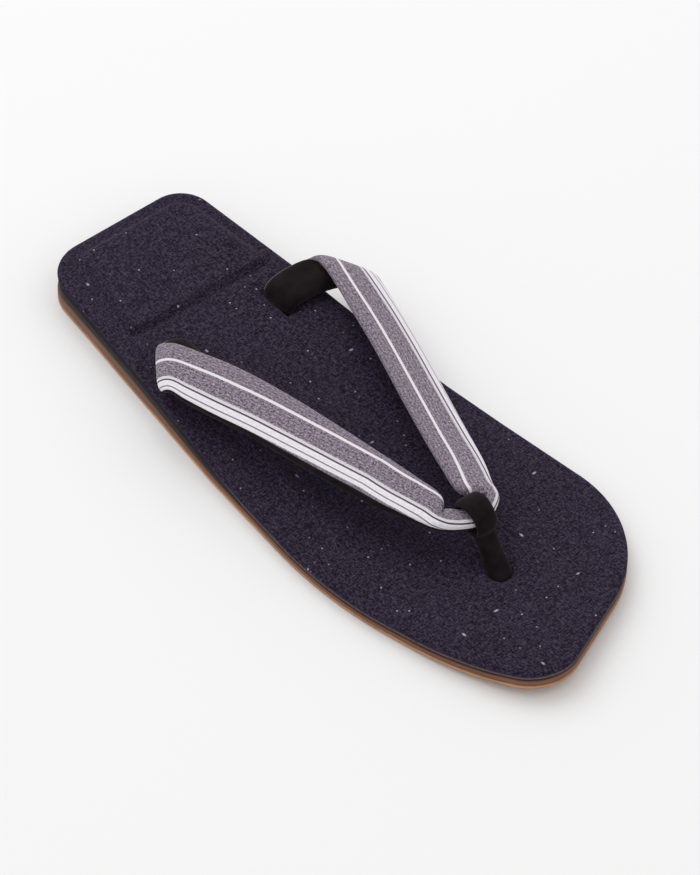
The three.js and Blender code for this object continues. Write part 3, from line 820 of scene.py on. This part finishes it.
class Finish:
    """A material; every node in it is made by one method."""

    def __init__(self, name, **constants):
        self.material = bpy.data.materials.new(name)
        self.material.use_nodes = True
        self.tree = self.material.node_tree
        self.surface = self.tree.nodes["Principled BSDF"]
        for socket, value in constants.items():
            self.surface.inputs[socket.replace("_", " ")].default_value = value

    def node(self, kind, settings=None, sockets=None, output=0):
        made = self.tree.nodes.new(kind)
        for key, value in (settings or {}).items():
            if key == "stops":
                self.set_stops(made.color_ramp, value)
            else:
                setattr(made, key, value)
        for key, value in (sockets or {}).items():
            self.feed(made.inputs[key], value)
        return Signal(self, made.outputs[output])

    def feed(self, socket, value):
        if isinstance(value, Signal):
            self.tree.links.new(value.socket, socket)
        else:
            socket.default_value = value

    def set_stops(self, ramp, stops):
        while len(ramp.elements) > 1:
            ramp.elements.remove(ramp.elements[-1])
        for i, (position, colour) in enumerate(stops):
            element = ramp.elements[0] if i == 0 else ramp.elements.new(position)
            element.position = position
            element.color = (*colour, 1.0)

    def place(self):
        """Where the surface point is, in the frame."""
        return self.node("ShaderNodeTexCoord", output="Object")

    def scaled(self, vector, scale):
        return self.node("ShaderNodeMapping", sockets={"Vector": vector, "Scale": scale})

    def noise(self, vector, scale, detail=2.0, roughness=0.5):
        return self.node("ShaderNodeTexNoise", sockets={
            "Vector": vector, "Scale": scale, "Detail": detail, "Roughness": roughness,
        })

    def ranged(self, value, low, high, to_low=0.0, to_high=1.0, smoothly=False):
        shape = "SMOOTHSTEP" if smoothly else "LINEAR"
        return self.node("ShaderNodeMapRange", {"interpolation_type": shape}, {
            "Value": value, "From Min": low, "From Max": high, "To Min": to_low, "To Max": to_high,
        })

    def blend(self, factor, first, second):
        """From the first colour to the second as the factor goes from 0 to 1."""
        colours = [c if isinstance(c, Signal) else (*c, 1.0) for c in (first, second)]
        return self.node("ShaderNodeMix", {"data_type": "RGBA"},
                         {0: factor, 6: colours[0], 7: colours[1]}, output=2)

    def bump(self, height, strength, distance):
        return self.node("ShaderNodeBump", sockets={
            "Height": height, "Strength": strength, "Distance": distance * MM,
        })

    def paint(self, colour, normal, roughness=None):
        """Leads signals to the surface; its constant roughness stays unless one is given."""
        for name, value in (("Base Color", colour), ("Roughness", roughness), ("Normal", normal)):
            if value is not None:
                self.feed(self.surface.inputs[name], value)
        return self.material


# ---- Finishes -------------------------------------------------------------------------------

def threads(finish, vector, across, along):
    """Uneven threads: bright and dark streaks `across` wide and `along` long, in millimetres,
    in both directions of the cloth."""
    fine, long = 1 / (across * MM), 1 / (along * MM)
    lengthwise = finish.noise(finish.scaled(vector, (fine, long, fine)), 1.0, 2.0, 0.6)
    crosswise = finish.noise(finish.scaled(vector, (long, fine, fine)), 1.0, 2.0, 0.6)
    return lengthwise, crosswise


NUB_FADE = 0.02                # of the cells' range, over which nubs come in
NUB_CORE = 0.45                # share of a nub's width that is fully pale
Nubs = namedtuple("Nubs", "cells width share")
DENIM_NUBS = [
    Nubs((190, 90, 190), 0.105, 0.26),
    Nubs((90, 190, 190), 0.105, 0.26),
    Nubs((330, 330, 330), 0.14, 0.22),
]


def slubs(finish, vector, scale, width, share):
    """Scattered short pale nubs: one in each cell of a grid with `scale` cells in a metre each
    way, kept in a share of the cells."""
    stretched = finish.scaled(vector, scale)
    sockets = {"Vector": stretched, "Scale": 1.0}
    distance = finish.node("ShaderNodeTexVoronoi", {"feature": "F1"}, sockets)
    cell = finish.node("ShaderNodeTexVoronoi", {"feature": "F1"}, sockets, output="Color")
    pick = finish.node("ShaderNodeSeparateColor", sockets={"Color": cell})
    kept = finish.ranged(pick, 1 - share, 1 - share + NUB_FADE)
    return finish.ranged(distance, width, width * NUB_CORE) * kept


INDIGO_DEEP = (0.0048, 0.0028, 0.0082)
INDIGO_MID = (0.0084, 0.0054, 0.0144)
INDIGO_THREAD = (0.060, 0.046, 0.080)
NUB_COLOUR = (0.50, 0.48, 0.54)


def make_denim():
    """Indigo denim: dark cloth with paler threads both ways, slow mottling and pale nubs."""
    finish = Finish("indigo_denim", Roughness=0.95, Specular_IOR_Level=0.12,
                    Sheen_Weight=0.05, Sheen_Roughness=0.5, Sheen_Tint=(0.75, 0.70, 0.9, 1.0))
    place = finish.place()
    lengthwise, crosswise = threads(finish, place, 0.50, 1.8)
    speck = finish.noise(place, 1500.0, 2.0, 0.7)
    drift = finish.noise(place, 26.0, 3.0, 0.5)
    weave = lengthwise * 0.32 + crosswise * 0.30 + speck * 0.38
    shade = finish.ranged(weave, 0.45, 0.61)
    deep = finish.blend(finish.ranged(drift, 0.3, 0.7), INDIGO_DEEP, INDIGO_MID)
    worn = finish.blend(shade, deep, INDIGO_THREAD)
    lengthwise_nubs, crosswise_nubs, dots = (slubs(finish, place, *nubs) for nubs in DENIM_NUBS)
    nubs = lengthwise_nubs + crosswise_nubs + dots
    colour = finish.blend(finish.ranged(nubs, 0.0, 1.0, 0.0, 0.75), worn, NUB_COLOUR)
    height = weave + nubs * 0.4
    return finish.paint(colour, finish.bump(height, 0.7, 0.35))


CLOTH_WIDTH = sum(stripe.width for stripe in STRIPES)
STRIPE_BLUR = 0.14             # millimetres over which one stripe turns into the next


def stripe_ramp(finish, around, value_of):
    """A value for each stripe, each edge blurred a little as woven edges are."""
    stops, reached = [], 0.0
    for stripe in STRIPES:
        value = value_of(stripe)
        stops.append(((reached + STRIPE_BLUR / 2) / CLOTH_WIDTH, value))
        reached += stripe.width
        stops.append(((reached - STRIPE_BLUR / 2) / CLOTH_WIDTH, value))
    return finish.node("ShaderNodeValToRGB", {"stops": stops}, {"Fac": around})


def make_striped_cloth():
    """Flat white stripes among flecked, finely ribbed tweed ones, laid by the cloth's own map."""
    finish = Finish("striped_tweed", Roughness=0.9, Specular_IOR_Level=0.25,
                    Sheen_Weight=0.12, Sheen_Roughness=0.6)
    flat = finish.node("ShaderNodeUVMap", {"uv_map": "Cloth"})
    split = finish.node("ShaderNodeSeparateXYZ", sockets={"Vector": flat})
    around = finish.ranged(split, 0, CLOTH_WIDTH / UV_UNIT)
    stripes = stripe_ramp(finish, around, lambda stripe: stripe.colour)
    tweedy = stripe_ramp(finish, around, lambda stripe: (stripe.tweed,) * 3)
    in_millimetres = finish.scaled(flat, (UV_UNIT, UV_UNIT, 1))
    warp = finish.noise(finish.scaled(in_millimetres, (1.8, 0.7, 1)), 1.0, 2.0, 0.7)
    weft = finish.noise(finish.scaled(in_millimetres, (1.3, 1.6, 1)), 1.0, 2.0, 0.7)
    fleck = finish.ranged(warp * 0.5 + weft * 0.5, 0.38, 0.62, 0.05, 2.2)
    pins = finish.node("ShaderNodeTexWave", {"wave_type": "BANDS", "bands_direction": "X"},
                       {"Vector": in_millimetres, "Scale": 0.24, "Distortion": 0.5, "Detail": 1.0})
    pinned = finish.ranged(pins, 0.0, 1.0, 0.82, 1.14)
    textured = finish.node("ShaderNodeVectorMath", {"operation": "SCALE"},
                           {0: stripes, "Scale": fleck * pinned})
    colour = finish.blend(tweedy, stripes, textured)
    height = weft * 0.5 + warp * 0.35 + pins * 0.35
    return finish.paint(colour, finish.bump(height, 0.5, 0.35))


VELVET_DEEP = (0.0035, 0.0025, 0.0028)
VELVET_CRUSHED = (0.012, 0.0085, 0.0095)


def make_velvet():
    finish = Finish("black_velvet", Roughness=1.0, Specular_IOR_Level=0.1,
                    Sheen_Weight=0.10, Sheen_Roughness=0.5, Sheen_Tint=(0.85, 0.72, 0.75, 1.0))
    place = finish.place()
    nap = finish.noise(place, 900.0, 3.0, 0.65)
    crush = finish.noise(place, 170.0, 2.0, 0.5)
    colour = finish.blend(finish.ranged(crush, 0.3, 0.7), VELVET_DEEP, VELVET_CRUSHED)
    return finish.paint(colour, finish.bump(nap * 0.6 + crush, 0.6, 0.3))


def make_leather(name, dark, light, roughness, layers):
    """Cut leather edge: fine layers along it, with a grain that varies slowly."""
    finish = Finish(name, Specular_IOR_Level=0.4)
    place = finish.place()
    strata = finish.noise(finish.scaled(place, (60, 60, layers)), 1.0, 3.0, 0.6)
    grain = finish.noise(place, 420.0, 4.0, 0.6)
    patch = finish.noise(place, 26.0, 2.0, 0.5)
    mixed = finish.ranged(strata * 0.55 + grain * 0.25 + patch * 0.35, 0.38, 0.78)
    colour = finish.blend(mixed, dark, light)
    rough = finish.ranged(grain, 0.3, 0.7, roughness - 0.08, roughness + 0.1)
    return finish.paint(colour, finish.bump(strata * 0.6 + grain * 0.6, 0.35, 0.25), rough)


FOAM_COLOURS = ((0.016, 0.012, 0.014), (0.034, 0.026, 0.030))


def make_foam():
    finish = Finish("charcoal_foam", Specular_IOR_Level=0.3)
    place = finish.place()
    pores = finish.noise(place, 1400.0, 3.0, 0.7)
    drift = finish.noise(place, 60.0, 2.0, 0.5)
    colour = finish.blend(finish.ranged(pores * 0.5 + drift * 0.5, 0.3, 0.7), *FOAM_COLOURS)
    rough = finish.ranged(drift, 0.3, 0.7, 0.62, 0.8)
    return finish.paint(colour, finish.bump(pores, 0.4, 0.15), rough)


# Near black painted shade for the edge line behind the waist, where the groove under the footbed's
# overhang lies in shadow.
WELT_PAINTED_SHADE = (0.009, 0.007, 0.011)
WELT_COLOURS = ((0.075, 0.055, 0.066), (0.16, 0.125, 0.145))
WELT_SHADE_ENDS = (110, 135)        # along the sole, where the painted shade of the groove turns into the grey line


def make_welt():
    finish = Finish("grey_edge_cloth", Roughness=0.85, Specular_IOR_Level=0.3)
    place = finish.place()
    weave = finish.noise(place, 1300.0, 2.0, 0.6)
    cloth = finish.blend(finish.ranged(weave, 0.3, 0.7), *WELT_COLOURS)
    along = finish.node("ShaderNodeSeparateXYZ", sockets={"Vector": place}, output=1)
    start, end = ((y + SHIFT[1]) * MM for y in WELT_SHADE_ENDS)
    forward = finish.ranged(along, start, end, smoothly=True)
    # Painted shade: behind the waist the line is painted near black for the shadowed groove; in front
    # of it the line is the grey cloth.
    colour = finish.blend(forward, WELT_PAINTED_SHADE, cloth)
    return finish.paint(colour, finish.bump(weave, 0.4, 0.15))


# ---- Building the pieces -------------------------------------------------------------------

TAN_COLOURS = ((0.30, 0.135, 0.062), (0.62, 0.33, 0.175))
BROWN_COLOURS = ((0.085, 0.036, 0.022), (0.21, 0.10, 0.062))


def build_sole():
    ring = ring_of(OUTLINE, OUTLINE_ENDS, LAYER_ACROSS, LAYER_ALONG)
    wedge_ring = ring_of(WEDGE_OUTLINE, WEDGE_ENDS, WEDGE_ACROSS, WEDGE_ALONG)
    wedge_ring = inset_ring(wedge_ring, WEDGE_INSET)
    tan = make_leather("tan_leather", *TAN_COLOURS, roughness=0.62, layers=900)
    brown = make_leather("brown_leather", *BROWN_COLOURS, roughness=0.5, layers=700)
    outsole = plate("outsole_leather", ring, LAYER_ACROSS, LAYER_ALONG, underside_z, outsole_top_z,
                    ROUND_EDGE, tan)
    midsole = plate("midsole_leather", ring, LAYER_ACROSS, LAYER_ALONG, midsole_bottom_z, midsole_top_z,
                    CUT_EDGE, brown)
    wedge = plate("heel_wedge_foam", wedge_ring, WEDGE_ACROSS, WEDGE_ALONG, wedge_bottom_z, wedge_top_z,
                  FOAM_EDGE, make_foam())
    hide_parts("outsole")
    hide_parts("midsole")
    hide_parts("heel_wedge")
    build_edge_line(make_welt())


def build_footbed_cover():
    footbed = build_footbed(make_denim())
    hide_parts("footbed")


def build_upper():
    velvet = make_velvet()
    cover = build_strap_cover(make_striped_cloth())
    lining = build_strap_lining(velvet)
    loop = build_front_loop(velvet)
    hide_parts("strap")
    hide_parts("front_loop")


FLOOR_REACH = 6.0              # metres from the sandal to each side
FLOOR_COLOUR = (0.90, 0.90, 0.90, 1.0)
SKY_STRENGTH = 0.80
KEY_DIRECTION = (-0.1, -0.9, 1.4)
KEY_DISTANCE = 2.4             # metres, as is the lamp's side
KEY_SIZE = 2.0
KEY_POWER = 20


def build_stage():
    mesh = bpy.data.meshes.new("floor")
    sides = [(-1, -1), (1, -1), (1, 1), (-1, 1)]
    corners = [(x * FLOOR_REACH, y * FLOOR_REACH, 0) for x, y in sides]
    mesh.from_pydata(corners, [], [(0, 1, 2, 3)])
    floor = bpy.data.objects.new("floor", mesh)
    bpy.context.scene.collection.objects.link(floor)
    finish = Finish("pale_floor", Roughness=0.9, Specular_IOR_Level=0.1, Base_Color=FLOOR_COLOUR)
    mesh.materials.append(finish.material)


def add_area_light(name, towards, distance, size, power):
    """A square lamp shining at the sandal from the direction `towards`."""
    data = bpy.data.lights.new(name, "AREA")
    data.size = size
    data.energy = power
    lamp = bpy.data.objects.new(name, data)
    bpy.context.scene.collection.objects.link(lamp)
    direction = Vector(towards).normalized()
    lamp.location = direction * distance
    lamp.rotation_mode = "QUATERNION"
    lamp.rotation_quaternion = direction.to_track_quat("Z", "Y")


def build_light():
    world = bpy.data.worlds.new("studio")
    world.use_nodes = True
    background = world.node_tree.nodes["Background"]
    background.inputs["Color"].default_value = (1.0, 1.0, 1.0, 1.0)
    background.inputs["Strength"].default_value = SKY_STRENGTH
    bpy.context.scene.world = world
    add_area_light("key", KEY_DIRECTION, KEY_DISTANCE, KEY_SIZE, KEY_POWER)
    bpy.context.scene.view_settings.view_transform = "Standard"


# Placed like the sandal's own points, in millimetres on it.
CAMERA_PLACE = (977.46, 1215.23, 1403.7)
CAMERA_UP = (-0.43978, -0.53523, 0.72119)
CAMERA_TARGET = (1.0, 134.0, 8.0)
CAMERA_LENS = 240


def build_camera():
    data = bpy.data.cameras.new("camera")
    data.sensor_width = 36
    data.lens = CAMERA_LENS
    data.clip_start, data.clip_end = 0.1, 20
    camera = bpy.data.objects.new("camera", data)
    bpy.context.scene.collection.objects.link(camera)
    place = Vector(to_frame(CAMERA_PLACE))
    forward = (Vector(to_frame(CAMERA_TARGET)) - place).normalized()
    right = forward.cross(Vector(CAMERA_UP)).normalized()
    up = right.cross(forward)
    turn = Matrix((right, up, -forward)).transposed()
    camera.matrix_world = Matrix.Translation(place) @ turn.to_4x4()
    bpy.context.scene.camera = camera


build_camera()
build_light()
build_stage()
build_sole()
build_footbed_cover()
build_upper()
